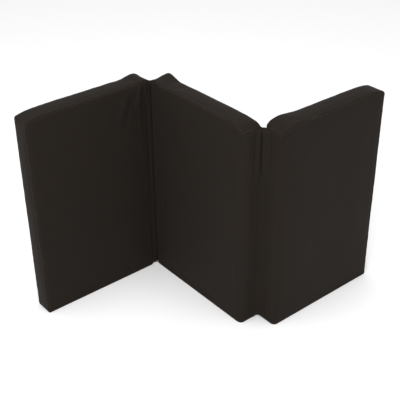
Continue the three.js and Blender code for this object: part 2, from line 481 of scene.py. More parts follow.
# Wrinkles on each pad's front: from and to, as distance from the named end and down from the top,
# then half width and height, in metres. A negative height is a hollow.
WRINKLES = {
    "left": ("right_end", (
        ((0.120, 0.030), (0.178, 0.165), 0.016, 0.0042),
        ((0.094, 0.035), (0.138, 0.180), 0.013, -0.0032),
        ((0.046, 0.012), (0.062, 0.095), 0.009, 0.0038),
        ((0.030, 0.022), (0.034, 0.260), 0.012, -0.0034),
        ((0.072, 0.022), (0.092, 0.110), 0.010, -0.0022),
        ((0.012, 0.015), (0.014, 0.120), 0.007, 0.0020),
        ((0.200, 0.060), (0.270, 0.200), 0.022, 0.0016),
    )),
    "middle": ("left_end", (
        ((0.030, 0.012), (0.048, 0.060), 0.007, -0.0022),
        ((0.020, 0.020), (0.024, 0.100), 0.006, 0.0018),
        ((0.034, 0.835), (0.026, 0.880), 0.006, 0.0028),
        ((0.026, 0.872), (0.036, 0.912), 0.005, -0.0024),
        ((0.040, 0.860), (0.046, 0.930), 0.006, 0.0022),
        ((0.058, 0.180), (0.062, 0.820), 0.016, -0.0014),
    )),
    "right": ("left_end", (
        ((0.006, 0.026), (0.046, 0.024), 0.005, -0.0024),
        ((0.010, 0.036), (0.050, 0.034), 0.005, 0.0016),
        ((0.060, 0.070), (0.078, 0.150), 0.010, 0.0016),
    )),
}
GROOVE_WRINKLES = {
    "middle": ("right_end", (
        ((0.078, 0.022), (0.020, 0.028), 0.005, -0.0024),
        ((0.064, 0.026), (0.052, 0.027), 0.004, -0.0034),
        ((0.072, 0.034), (0.024, 0.042), 0.005, 0.0016),
        ((0.045, 0.120), (0.048, 0.900), 0.013, 0.0024),
        ((0.076, 0.200), (0.072, 0.780), 0.014, -0.0018),
        ((0.110, 0.100), (0.104, 0.420), 0.018, 0.0012),
    )),
}


GATHER_HEIGHT = 0.0007
SEAM_DEPTH = 0.0016
SEAM_RIDGE = 0.0007


def cloth_detail(pad, flat, points, normals, cover, seed):
    """The cover's points, moved along their normals by ripples, wrinkles, seams and gathers."""
    height = pad.size[UP]
    broad = ripples(flat, 0.34, seed) * cover.slack
    fine = ripples(flat * (1, 1, 0.6), 0.09, seed + 1) * cover.slack * 0.38
    lift = broad + fine
    seam = seam_distance(pad, flat)
    around = flat.sum(axis=1)
    gather = ripples(np.stack([around, around * 0.31, around * 0], axis=1), 0.03, seed + 2)
    lift += gather * GATHER_HEIGHT * np.exp(-seam / 0.014)
    lift -= SEAM_DEPTH * bell(seam, 0, 0.0032)
    lift += SEAM_RIDGE * bell(seam, 0.008, 0.004)
    for table in (WRINKLES, GROOVE_WRINKLES):
        if pad.name not in table:
            continue
        end, folds = table[pad.name]
        from_end = pad.from_end(end, flat)
        places = np.stack([from_end, height - flat[:, UP]], axis=1)
        on_front = smooth(1 - flat[:, IN] / 0.02)
        for start, stop, half_width, rise in folds:
            lift += furrow(places, start, stop, half_width) * rise * on_front
    lift -= cover.room * meeting(pad, flat) * smooth(seam / 0.05)
    bottom = smooth(flat[:, UP] / 0.012)
    return points + normals * (lift * bottom)[:, None]


# ---- Materials ----


class Graph:
    """Adds nodes to a tree and links them by short calls."""

    def __init__(self, tree):
        self.tree = tree

    def node(self, kind, inputs=None, **values):
        made = self.tree.nodes.new(kind)
        for name, value in values.items():
            setattr(made, name, value)
        for name, value in (inputs or {}).items():
            self.feed(made.inputs[name], value)
        return made

    def feed(self, socket, value):
        if isinstance(value, bpy.types.NodeSocket):
            self.tree.links.new(value, socket)
        else:
            socket.default_value = value

    def math(self, operation, first, second=None, third=None):
        made = self.tree.nodes.new("ShaderNodeMath")
        made.operation = operation
        for socket, value in zip(made.inputs, (first, second, third)):
            if value is not None:
                self.feed(socket, value)
        return made.outputs[0]

    def object_place(self):
        return self.node("ShaderNodeTexCoord").outputs["Object"]

    def cloth_map(self):
        return self.node("ShaderNodeUVMap", uv_map="cloth").outputs[0]

    def scaled(self, value, factor, shift):
        return self.math("MULTIPLY_ADD", value, factor, shift)

    def noise(self, place, scale, detail):
        made = self.node(
            "ShaderNodeTexNoise", {"Vector": place, "Scale": scale, "Detail": detail}
        )
        return made.outputs[0]

    def wave(self, along, pitch):
        return self.math("SINE", self.math("MULTIPLY", along, 2 * math.pi / pitch))

    def bump(self, surface, strength, distance, height):
        made = self.node(
            "ShaderNodeBump", {"Strength": strength, "Distance": distance, "Height": height}
        )
        self.feed(surface["Normal"], made.outputs[0])

    def mix(self, share, first, second):
        """Mixes two colours. The node has its sockets once for each data type, so they go by type."""
        made = self.tree.nodes.new("ShaderNodeMix")
        made.data_type = "RGBA"
        colours = [socket for socket in made.inputs if socket.type == "RGBA"]
        self.feed(made.inputs[0], share)
        self.feed(colours[0], first)
        self.feed(colours[1], second)
        return next(socket for socket in made.outputs if socket.type == "RGBA")


def group(name, inputs, outputs):
    """An empty shader node group with float, vector or colour sockets."""
    kinds = {"float": "NodeSocketFloat", "vector": "NodeSocketVector", "colour": "NodeSocketColor"}
    tree = bpy.data.node_groups.new(name, "ShaderNodeTree")
    for socket, (kind, default) in inputs.items():
        made = tree.interface.new_socket(socket, in_out="INPUT", socket_type=kinds[kind])
        if default is not None:
            made.default_value = default
    for socket, kind in outputs.items():
        tree.interface.new_socket(socket, in_out="OUTPUT", socket_type=kinds[kind])
    graph = Graph(tree)
    entry = graph.node("NodeGroupInput").outputs
    leave = graph.node("NodeGroupOutput").inputs
    return graph, entry, leave, tree


def weave_group():
    """Plain weave of two thread sets over a flat cloth map in metres."""
    graph, entry, leave, tree = group(
        "Plain weave",
        {"Map": ("vector", None), "Pitch": ("float", 0.0009)},
        {"Height": "float", "Warp": "float", "Slub": "float"},
    )
    split = graph.node("ShaderNodeSeparateXYZ", {"Vector": entry["Map"]}).outputs
    turn = graph.math("DIVIDE", math.pi, entry["Pitch"])
    across = graph.math("SINE", graph.math("MULTIPLY", split["X"], turn))
    up = graph.math("SINE", graph.math("MULTIPLY", split["Y"], turn))
    crossing = graph.math("MULTIPLY", across, up)
    graph.feed(leave["Height"], graph.math("ABSOLUTE", crossing))
    graph.feed(leave["Warp"], graph.scaled(crossing, 0.5, 0.5))
    slubs = []
    for stretch in ((40, 900, 1), (900, 55, 1)):
        stretched = graph.node("ShaderNodeMapping", {"Vector": entry["Map"], "Scale": stretch})
        slubs.append(graph.noise(stretched.outputs[0], 1.0, 1.0))
    graph.feed(leave["Slub"], graph.math("MULTIPLY", graph.math("ADD", *slubs), 0.5))
    return tree


def mottle_group():
    """Slow change of tone over a surface, between -1 and 1 round 0."""
    graph, entry, leave, tree = group("Mottle", {"Scale": ("float", 5.0)}, {"Tone": "float"})
    place = graph.object_place()
    noise = graph.noise(place, entry["Scale"], 4.0)
    graph.feed(leave["Tone"], graph.scaled(noise, 2.0, -1.0))
    return tree


def principled(name):
    """A new material with its graph and the sockets of its shader."""
    material = bpy.data.materials.new(name)
    material.use_nodes = True
    graph = Graph(material.node_tree)
    shader = material.node_tree.nodes["Principled BSDF"]
    return material, graph, shader.inputs


def shade(colour, factor, lift=0.0):
    """The colour made darker or paler, as a node takes it."""
    return tuple(c * factor + lift for c in colour) + (1,)


def woven_cloth(name, colour, groups, pitch=0.0009, sheen=0.02):
    """Matte woven cloth: threads, slubs, slow mottling and paler rubbed edges."""
    material, graph, surface = principled(name)
    weave = graph.node(
        "ShaderNodeGroup", {"Map": graph.cloth_map(), "Pitch": pitch}, node_tree=groups["weave"]
    )
    mottle = graph.node("ShaderNodeGroup", node_tree=groups["mottle"])
    rub = graph.node("ShaderNodeAttribute", attribute_name="rub").outputs["Fac"]
    dark, light, rubbed = shade(colour, 0.74), shade(colour, 1.22), shade(colour, 1.45, 0.001)
    threads = graph.mix(weave.outputs["Warp"], dark, light)
    tone = graph.scaled(mottle.outputs["Tone"], 0.14, 1.0)
    slub = graph.scaled(weave.outputs["Slub"], 0.24, 0.88)
    toned = graph.node(
        "ShaderNodeVectorMath", {0: threads, 1: graph.math("MULTIPLY", tone, slub)},
        operation="MULTIPLY",
    ).outputs[0]
    worn = graph.math("MULTIPLY", rub, graph.scaled(weave.outputs["Warp"], 0.3, 0.2))
    graph.feed(surface["Base Color"], graph.mix(worn, toned, rubbed))
    graph.feed(surface["Roughness"], graph.scaled(mottle.outputs["Tone"], 0.05, 0.86))
    graph.bump(surface, 0.35, pitch * 0.25, weave.outputs["Height"])
    graph.feed(surface["Sheen Weight"], sheen)
    graph.feed(surface["Sheen Roughness"], 0.45)
    graph.feed(surface["Sheen Tint"], (0.62, 0.55, 0.5, 1))
    graph.feed(surface["Specular IOR Level"], 0.16)
    return material


# ---- Pieces of a pad's cover ----


def cover_blank(pad):
    """The pad's cloth laid out as a finely sliced box, with the zip's slot left open."""
    width, thickness, height = pad.size
    slot_half = 0.006
    margin = 0.045
    middle = thickness / 2
    cuts = (
        cut_places(width, 0.005, 0.07, 0.012, (margin, width - margin)),
        cut_places(thickness, 0.005, 0.02, 0.006, (middle - slot_half, middle, middle + slot_half)),
        cut_places(height, 0.005, 0.04, 0.012),
    )
    bm = sliced_box(pad.size, cuts)
    slot = [
        face
        for face in bm.faces
        if face.normal.z < -0.9
        and abs(face.calc_center_median().y - middle) < slot_half
        and margin < face.calc_center_median().x < width - margin
    ]
    bmesh.ops.delete(bm, geom=slot, context="FACES")
    bm.normal_update()
    map_by_facing(bm)
    for face in bm.faces:
        face.material_index = cloth_region(pad, face)
    return bm


def cloth_region(pad, face):
    """Index in COVER_NODES of the piece that a face of the laid out box belongs to."""
    _, thickness, _ = pad.size
    centre = face.calc_center_median()
    if face.normal.y < -0.5:
        return 0
    if face.normal.y > 0.5:
        return 1
    if face.normal.z > 0.5:
        return 4
    if face.normal.z < -0.5:
        return 5 if centre.y < thickness / 2 else 6
    end = "left_end" if face.normal.x < 0 else "right_end"
    hinge = pad.hinged.get(end)
    if hinge == "front" and centre.y > WEB_DEPTH:
        return 1
    if hinge == "back" and centre.y < thickness - WEB_DEPTH:
        return 0
    return COVER_NODES.index(end)


def store_vectors(mesh, name, values):
    attribute = mesh.attributes.new(name, "FLOAT_VECTOR", "POINT")
    attribute.data.foreach_set("vector", np.ascontiguousarray(values, np.float32).ravel())


def read_vectors(mesh, name):
    found = np.empty(len(mesh.vertices) * 3, np.float32)
    mesh.attributes[name].data.foreach_get("vector", found)
    return found.reshape(-1, 3).astype(float)


CLOTH = {
    "quality": 4,
    "mass": 0.15,
    "tension_stiffness": 15,
    "compression_stiffness": 15,
    "shear_stiffness": 4,
    "bending_stiffness": 0.02,
    "tension_damping": 8,
    "compression_damping": 8,
    "air_damping": 2,
    "use_pressure": True,
    "uniform_pressure_force": 0.6,
    "vertex_group_mass": "held",
}
CLOTH_FRAMES = 16
HELD = 0.004  # depth of the cloth's held rim
SWELL_SHARE = 0.16  # what is kept of the simulated swell
BUCKLE_SHARE = 0.55  # and of its finer buckles
BUCKLE_CAP = 0.0018


def settle_cloth(pad, shell, flat, cover):
    """Lets the cloth puff and buckle over the foam, by simulation, as far as the caps allow."""
    mesh = shell.data
    start = coordinates(mesh)
    normals = vertex_normals(mesh)
    held = flat[:, UP] < HELD
    for end in pad.hinged:
        held |= pad.from_end(end, flat) < HELD
    pins = shell.vertex_groups.new(name="held")
    pins.add([int(k) for k in np.flatnonzero(held)], 1.0, "REPLACE")
    modifier = shell.modifiers.new("Cloth", "CLOTH")
    for setting, value in CLOTH.items():
        setattr(modifier.settings, setting, value)
    modifier.settings.shrink_min = -cover.ease
    modifier.settings.effector_weights.gravity = 0
    modifier.collision_settings.use_collision = False
    modifier.point_cache.frame_end = CLOTH_FRAMES
    scene = bpy.context.scene
    for step in range(1, CLOTH_FRAMES + 1):
        scene.frame_set(step)
    settled = evaluated_copy(shell)
    move = coordinates(settled) - start
    bpy.data.meshes.remove(settled)
    shell.modifiers.remove(modifier)
    scene.frame_set(1)
    outward = (move * normals).sum(axis=1)
    swell = spread_out(mesh, outward, rounds=90)
    buckles = np.tanh((outward - swell) * BUCKLE_SHARE / BUCKLE_CAP) * BUCKLE_CAP
    puff = cover.puff * (1 - 0.65 * meeting(pad, flat))
    swell = np.tanh(np.maximum(swell, 0) * SWELL_SHARE / puff) * puff
    loose = smooth(flat[:, UP] / 0.03)
    set_coordinates(mesh, start + ((swell + buckles) * loose)[:, None] * normals)


def spread_out(mesh, values, rounds):
    """Evens out a value over a mesh, by taking it towards the mean of the neighbours' many times."""
    edges = np.empty(len(mesh.edges) * 2, np.int32)
    mesh.edges.foreach_get("vertices", edges)
    first, second = edges.reshape(-1, 2).T
    count = len(mesh.vertices)
    neighbours = np.bincount(first, minlength=count) + np.bincount(second, minlength=count)
    for _ in range(rounds):
        total = np.bincount(first, values[second], count) + np.bincount(second, values[first], count)
        values = 0.4 * values + 0.6 * total / neighbours
    return values


def cover_shell(pad, blank, cover, seed):
    """The whole cover as one smooth mesh, with its laid out places kept as an attribute."""
    mesh = blank.copy()
    flat = coordinates(mesh)
    store_vectors(mesh, "flat", flat)
    set_coordinates(mesh, pad_shape(pad, flat, cover))
    shell = new_object(f"{pad.name}_shell", mesh)
    settle_cloth(pad, shell, flat, cover)
    soften(shell)
    fine = evaluated_copy(shell)
    bpy.data.objects.remove(shell)
    flat = read_vectors(fine, "flat")
    points = cloth_detail(pad, flat, coordinates(fine), vertex_normals(fine), cover, seed)
    clear_of_floor = 0.0003
    points[:, UP] = np.maximum(points[:, UP], clear_of_floor)
    set_coordinates(fine, points)
    rub = bell(seam_distance(pad, flat), 0.006, 0.006)
    attribute = fine.attributes.new("rub", "FLOAT", "POINT")
    attribute.data.foreach_set("value", rub.astype(np.float32))
    fine.attributes.remove(fine.attributes["flat"])
    return fine


def cut_piece(shell, region, name):
    """One piece of the shell, with its cloth turned in along the seams round it."""
    turn_in = 0.0035
    parting = 0.0003
    bm = bmesh.new()
    bm.from_mesh(shell)
    bm.normal_update()
    others = [face for face in bm.faces if face.material_index != region]
    bmesh.ops.delete(bm, geom=others, context="FACES")
    for face in bm.faces:
        face.material_index = 0
    rim = [edge for edge in bm.edges if edge.is_boundary]
    inward = {}
    for edge in rim:
        face = edge.link_faces[0]
        side = (face.calc_center_median() - (edge.verts[0].co + edge.verts[1].co) / 2).normalized()
        for vert in edge.verts:
            inward[vert] = inward.get(vert, Vector()) + side
    normals = {vert: vert.normal.copy() for vert in inward}
    grown = bmesh.ops.extrude_edge_only(bm, edges=rim)
    new_verts = [item for item in grown["geom"] if isinstance(item, bmesh.types.BMVert)]
    placed = {tuple(vert.co): vert for vert in inward}
    for vert in new_verts:
        source = placed[tuple(vert.co)]
        vert.co -= normals[source] * turn_in
        vert.co += inward[source].normalized() * parting * 3
    for vert, side in inward.items():
        vert.co += side.normalized() * parting
    return new_object(name, mesh_of(bm, name))


class MATTRESS_OT_cover(bpy.types.Operator):
    """Makes the cloth cover of each pad, in the pieces it is sewn from"""

    bl_idname = "mattress.cover"
    bl_label = "Make Covers"

    def execute(self, context):
        cover = context.scene.mattress_cover
        groups = shared_groups()
        cloth = woven_cloth(COVER_CLOTH, tuple(cover.colour), groups)
        for seed, name in enumerate(PADS):
            pad = Pad(name)
            blank = mesh_of(cover_blank(pad), "blank")
            shell = cover_shell(pad, blank, cover, 10 * seed + 3)
            for region, node in enumerate(COVER_NODES):
                piece = cut_piece(shell, region, f"{name}_{node}_cloth")
                piece.data.materials.clear()
                piece.data.materials.append(cloth)
                pad.place(piece)
                thicken(piece, cover.cloth)
                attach(piece, pad.body)
                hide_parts(f"{name}_{node}")
        return {"FINISHED"}


def shared_groups():
    names = {"weave": ("Plain weave", weave_group), "mottle": ("Mottle", mottle_group)}
    return {
        key: bpy.data.node_groups.get(title) or make() for key, (title, make) in names.items()
    }


# ---- Foam and its sock ----


def foam_material():
    """Cut open-cell foam: fine pits, a little yellowing and matte all over."""
    material, graph, surface = principled("open cell foam")
    colour = (0.78, 0.70, 0.50)
    place = graph.object_place()
    cells = graph.node("ShaderNodeTexVoronoi", {"Vector": place, "Scale": 480.0})
    patches = graph.noise(place, 9.0, 3.0)
    pit = graph.math("MULTIPLY", cells.outputs["Distance"], 0.48)
    share = graph.scaled(patches, 0.5, pit)
    graph.feed(surface["Base Color"], graph.mix(share, shade(colour, 1), shade(colour, 0.82)))
    graph.feed(surface["Roughness"], graph.scaled(patches, 0.08, 0.88))
    graph.bump(surface, 0.6, 0.0006, cells.outputs["Distance"])
    return material


def knit_material():
    """Thin off-white knit, ribbed up the pad."""
    material, graph, surface = principled("ribbed knit")
    colour = (0.72, 0.70, 0.66)
    split = graph.node("ShaderNodeSeparateXYZ", {"Vector": graph.cloth_map()}).outputs
    rib = graph.wave(split["X"], 0.0022)
    course = graph.wave(split["Y"], 0.0016)
    stitch = graph.scaled(rib, 0.6, graph.math("MULTIPLY", course, 0.4))
    share = graph.scaled(stitch, 0.5, 0.5)
    graph.feed(surface["Base Color"], graph.mix(share, shade(colour, 0.7), shade(colour, 1)))
    graph.feed(surface["Roughness"], graph.scaled(share, -0.06, 0.95))
    graph.bump(surface, 0.5, 0.0005, stitch)
    return material


def map_by_facing(bm):
    """Lays each face of a box flat on the cloth map, in metres."""
    uv = bm.loops.layers.uv.new("cloth")
    flat_axes = {ALONG: (IN, UP), IN: (ALONG, UP), UP: (ALONG, IN)}
    for face in bm.faces:
        facing = max(range(3), key=lambda k: abs(face.normal[k]))
        first, second = flat_axes[facing]
        for loop in face.loops:
            loop[uv].uv = (loop.vert.co[first], loop.vert.co[second])


INNER_EASE = 0.0048  # how far the foam and the sock stay inside their boxes


def inner_block(pad, node, cover):
    """A block that fills the box of a CAD node and keeps the cover's rounded shape inside it."""
    low, high = local_box(pad, node)
    start = low + INNER_EASE
    room = high - low - 2 * INNER_EASE
    cuts = [cut_places(length, 0.008, 0.06 if length > 0.2 else 0.03, 0.025) for length in pad.size]
    bm = sliced_box(pad.size, cuts)
    bm.normal_update()
    map_by_facing(bm)
    mesh = mesh_of(bm, node)
    flat = coordinates(mesh)
    shaped = pad_shape(pad, flat, cover)
    set_coordinates(mesh, start + shaped / np.array(pad.size) * room)
    made = new_object(f"{node}_shape", mesh)
    pad.place(made)
    soften(made)
    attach(made, pad.body)
    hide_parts(node)
    return made


class MATTRESS_OT_foam(bpy.types.Operator):
    """Makes each pad's foam block and the knitted sock round it"""

    bl_idname = "mattress.foam"
    bl_label = "Make Foam"

    def execute(self, context):
        cover = context.scene.mattress_cover
        finishes = {
            "foam_core": ("foam", foam_material()),
            "foam_liner": ("fire_barrier_knit", knit_material()),
        }
        for name in PADS:
            pad = Pad(name)
            for part, (slot, material) in finishes.items():
                made = inner_block(pad, f"{name}_{part}", cover)
                made.data.materials.append(material)
        return {"FINISHED"}


# ---- Folds ----


def along_path(wanted, travel, points):
    """Points of a line at the wanted distances along it."""
    return np.stack([np.interp(wanted, travel, column) for column in points.T], axis=1)


def smooth_path(points, count):
    """Points evenly spaced along a smooth line near a few given ones."""
    rough = np.array(points, float)
    for _ in range(3):
        quarter = rough[:-1] * 0.75 + rough[1:] * 0.25
        three_quarters = rough[:-1] * 0.25 + rough[1:] * 0.75
        cut = np.stack([quarter, three_quarters], axis=1).reshape(-1, rough.shape[1])
        rough = np.concatenate([rough[:1], cut, rough[-1:]])
    steps = np.linalg.norm(np.diff(rough, axis=0), axis=1)
    travel = np.concatenate([[0], np.cumsum(steps)])
    wanted = np.linspace(0, travel[-1], count)
    return along_path(wanted, travel, rough), travel[-1]


def cloth_grid(name, across, heights, place):
    """A grid of cloth. place(share, height) gives points for arrays of both, in metres."""
    bm = bmesh.new()
    bmesh.ops.create_grid(bm, x_segments=across - 1, y_segments=len(heights) - 1, size=1.0)
    bm.verts.ensure_lookup_table()
    shares = np.array([(vert.co.x + 1) / 2 for vert in bm.verts])
    rows = np.array([(vert.co.y + 1) / 2 for vert in bm.verts])
    levels = np.interp(rows, np.linspace(0, 1, len(heights)), heights)
    points, width = place(shares, levels)
    uv = bm.loops.layers.uv.new("cloth")
    cloth_map = {vert: (share * width, level) for vert, share, level in zip(bm.verts, shares, levels)}
    for vert, point in zip(bm.verts, points):
        vert.co = point
    for face in bm.faces:
        for loop in face.loops:
            loop[uv].uv = cloth_map[loop.vert]
    bmesh.ops.recalc_face_normals(bm, faces=bm.faces)
    return new_object(name, mesh_of(bm, name))


class Fold(Placed):
    """One fold. Its shapes are drawn round the right fold's axis and turned half round for the left."""

    def __init__(self, side):
        self.side = side
        self.axis = fold_axis(side)
        low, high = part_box(f"{side}_fold_seam")
        self.low, self.high = low.z, high.z
        # At the left fold the cloth is gathered up between the pads' raised corners, and at the
        # right fold it is pulled down between them.
        self.top = high.z + (0.020 if side == "left" else -0.004)
        turn = Matrix.Rotation(math.pi if side == "left" else 0, 4, "Z")
        self.matrix = Matrix.Translation((self.axis.x, self.axis.y, 0)) @ turn
        self.pads = ("middle_pad", f"{side}_pad")

    def at(self, x, y):
        return self.matrix @ Vector((x, y, 0))


# Plan of the web between two pads' ends, from the middle pad's seam to the other pad's, in
# millimetres from the fold's axis: where it hangs open as a groove, and where it is pinched shut.
WEB_OPEN = (
    (-4.5, -42), (-2.4, -37), (-1, -30), (1, -21), (5.5, -12), (15, -4.5), (29, 1), (42, 4.5),
)
WEB_PINCHED = (
    (-4.5, -42), (-1, -37), (6.5, -30), (8.5, -24), (5, -14), (8.5, -14), (14, -19.5),
    (24, -12), (34, -2), (42, 4.5),
)
# Where the web's top edge is turned back, close along both ends to the fold's axis.
WEB_SHUT = (
    (-3.6, -42), (-3.4, -24), (-3, -10), (-1, -2.6), (2.6, 1), (10, 3), (24, 3.4), (42, 3.6),
)
# Plans of the strips beside a crease: a full roll on the middle pad, and a flat one on the outer.
STRIP_FULL = (
    (-34, -3.8), (-29, -3.6), (-25, -1.9), (-19, 0.9), (-12, 1.4), (-6, 0.2), (-2.4, -2),
    (-2.2, -4.5), (-3.6, -8),
)
STRIP_FLAT = (
    (-34, -4.6), (-26, -6.2), (-18, -7.0), (-11, -6.2), (-5.5, -4.4), (-2.4, -3.0),
    (-1.6, -3.6), (-2.4, -6), (-3.8, -9),
)


def fold_web(fold):
    """The cloth that joins the two pads' ends inside the groove."""
    heights = np.arange(fold.low + 0.004, fold.top, 0.006)
    count = 33
    index = np.linspace(0, 1, count)
    paths, widths = zip(*[smooth_path(plan, count) for plan in (WEB_OPEN, WEB_PINCHED, WEB_SHUT)])
    width = widths[0] / 1000

    pinch_start = 0.27  # below the top
    pinch_reach = 0.12
    cap = 0.013  # the top stretch that is turned back
    cap_rise = 0.016
    foot = 0.03
    drape_height = 0.0012

    def place(shares, levels):
        held = smooth((levels - fold.high + pinch_start) / pinch_reach)[:, None]
        wide, tight, back = (along_path(shares, index, path / 1000) for path in paths)
        plan = wide * (1 - held) + tight * held
        cap_level = fold.top - cap
        over = np.clip((levels - cap_level) / (heights[-1] - cap_level), 0, 1)
        under = 0.5 * smooth((foot - levels) / foot)
        plan += (back - plan) * np.maximum(smooth(over), under)[:, None]
        raised = np.minimum(levels, cap_level) + cap_rise * smooth(over)
        points = np.column_stack([plan, raised])
        drape = ripples(points * (1, 1, 0.35), 0.05, 71) * drape_height * np.sin(math.pi * shares)
        points[:, 0] += drape
        points[:, 1] -= drape
        return points, width

    web = cloth_grid(f"{fold.side}_fold_web", count, heights, place)
    return web, width, heights[-1] - heights[0]


STRIP_FOOT = 0.0038  # the full strip's foot, below the axis
STRIP_RISE = 0.0052  # its height over that


def crease_strip(fold, outer, folds):
    """A rolled strip beside the crease: on the middle pad, or on the outer one."""
    heights = np.arange(fold.low + 0.002, fold.top, 0.004)
    count = 25
    plan, width = smooth_path(STRIP_FLAT if outer else STRIP_FULL, count)
    plan, width = plan / 1000, width / 1000

    gather_height = 0.0005
    slow_height = 0.0006
    slow_shift = 0.0016
    end_dip = 0.0018
    end_reach = 0.02

    def place(shares, levels):
        flat = along_path(shares, np.linspace(0, 1, count), plan)
        if not outer:
            flat[:, 1] = (flat[:, 1] + STRIP_FOOT) * folds.welt / STRIP_RISE - STRIP_FOOT
        crest = bell(shares, 0.45, 0.25)
        seed = 31 if outer else 37
        gather = ripples(np.stack([levels, shares * 0.02, levels * 0], axis=1), 0.028, seed)
        slow = ripples(np.stack([levels, shares * 0.01, levels * 0], axis=1), 0.2, seed + 1)
        flat[:, 1] += gather * gather_height * crest + slow * slow_height * crest
        flat[:, 0] += slow * slow_shift * smooth(1 - shares / 0.4)
        near_end = smooth(1 - np.minimum(levels - fold.low, heights[-1] - levels) / end_reach)
        flat[:, 1] -= end_dip * near_end * crest
        points = np.column_stack([flat, levels])
        if outer:
            points = np.column_stack([-points[:, 1], -points[:, 0], points[:, 2]])
        return points, width

    pad = fold.side if outer else "middle"
    return cloth_grid(f"{fold.side}_fold_strip_{pad}_cloth", count, heights, place)


def seam_roll(fold, folds):
    """The rolled seam on the axis, with a gathered knot at its top."""
    bm = bmesh.new()
    sides = 12
    rings = 200
    bmesh.ops.create_circle(bm, segments=sides, radius=folds.roll)
    heights = np.linspace(fold.low + 0.001, fold.top, rings)
    bmesh.ops.translate(bm, verts=bm.verts, vec=(0, 0, heights[0]))
    ring = bm.edges[:]
    for level in heights[1:]:
        grown = bmesh.ops.extrude_edge_only(bm, edges=ring)["geom"]
        verts = [item for item in grown if isinstance(item, bmesh.types.BMVert)]
        ring = [item for item in grown if isinstance(item, bmesh.types.BMEdge)]
        ring = [edge for edge in ring if all(vert in verts for vert in edge.verts)]
        for vert in verts:
            vert.co.z = level
    bmesh.ops.holes_fill(bm, edges=[edge for edge in bm.edges if edge.is_boundary], sides=0)
    bmesh.ops.recalc_face_normals(bm, faces=bm.faces)
    mesh = mesh_of(bm, "roll")
    points = coordinates(mesh)
    level = points[:, UP]
    knot = smooth((level - fold.top + 0.022) / 0.01) * smooth((fold.top + 0.001 - level) / 0.006)
    gather = ripples(points * (30, 30, 1), 0.012, 53)
    points[:, :2] *= (1 + 0.14 * gather + 1.1 * knot)[:, None]
    set_coordinates(mesh, points)
    uv = mesh.uv_layers.new(name="cloth")
    corners = np.empty(len(mesh.loops), np.int32)
    mesh.loops.foreach_get("vertex_index", corners)
    angle = np.arctan2(points[:, 1], points[:, 0]) * folds.roll
    flat = np.column_stack([angle, points[:, 2]])[corners]
    uv.data.foreach_set("uv", flat.astype(np.float32).ravel())
    return new_object(f"{fold.side}_fold_seam_cloth", mesh)


class MATTRESS_OT_folds(bpy.types.Operator):
    """Makes the web, the two crease strips and the rolled seam of each fold"""

    bl_idname = "mattress.folds"
    bl_label = "Make Folds"

    def execute(self, context):
        cover = context.scene.mattress_cover
        folds = context.scene.mattress_folds
        cloth = bpy.data.materials[COVER_CLOTH]
        seam_colour = tuple(c * 0.92 for c in cover.colour)
        seam_cloth = woven_cloth("woven seam cloth", seam_colour, shared_groups())
        for side in ("left", "right"):
            fold = Fold(side)
            web, width, length = fold_web(fold)
            web.data.materials.append(cloth)
            fold.place(web)
            thicken(web, cover.cloth, 0)
            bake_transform(web)
            for outer in (False, True):
                strip = crease_strip(fold, outer, folds)
                strip.data.materials.append(seam_cloth)
                fold.place(strip)
                thicken(strip, cover.cloth)
                pad = side if outer else "middle"
                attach(strip, f"{pad}_pad")
                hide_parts(f"{side}_fold_strip_{pad}")
            roll = seam_roll(fold, folds)
            roll.data.materials.append(seam_cloth)
            fold.place(roll)
            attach(roll, "middle_pad")
            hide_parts(f"{side}_fold_seam")
        return {"FINISHED"}


# ---- Zips and label ----


def tape_material(groups):
    """Black woven zip tape, a little shinier than the cover."""
    return woven_cloth("woven zip tape", (0.016, 0.015, 0.015), groups, pitch=0.0007, sheen=0.1)


def zip_metal_material():
    """Black lacquered zinc with bare metal where it rubs."""
    material, graph, surface = principled("lacquered zip metal")
    place = graph.object_place()
    scratch = graph.noise(place, 420.0, 5.0)
    edge = graph.node("ShaderNodeNewGeometry").outputs["Pointiness"]
    bare = graph.math("GREATER_THAN", graph.math("MULTIPLY", edge, scratch), 0.33)
    graph.feed(
        surface["Base Color"], graph.mix(bare, (0.02, 0.02, 0.022, 1), (0.42, 0.41, 0.39, 1))
    )
    graph.feed(surface["Metallic"], graph.scaled(bare, 0.7, 0.3))
    graph.feed(surface["Roughness"], graph.scaled(scratch, 0.25, 0.22))
    return material


def label_material():
    """White satin ribbon with fine ribs."""
    material, graph, surface = principled("label satin ribbon")
    split = graph.node("ShaderNodeSeparateXYZ", {"Vector": graph.cloth_map()}).outputs
    rib = graph.wave(split["Y"], 0.0008)
    share = graph.scaled(rib, 0.5, 0.5)
    graph.feed(
        surface["Base Color"], graph.mix(share, (0.74, 0.73, 0.70, 1), (0.86, 0.85, 0.82, 1))
    )
    graph.feed(surface["Roughness"], graph.scaled(share, 0.15, 0.32))
    graph.bump(surface, 0.3, 0.0002, rib)
    return material


def bead(bm, place, radii):
    """Adds a small rounded lump."""
    verts = bmesh.ops.create_icosphere(bm, subdivisions=1, radius=1.0)["verts"]
    bmesh.ops.scale(bm, verts=verts, vec=radii)
    bmesh.ops.translate(bm, verts=verts, vec=place)


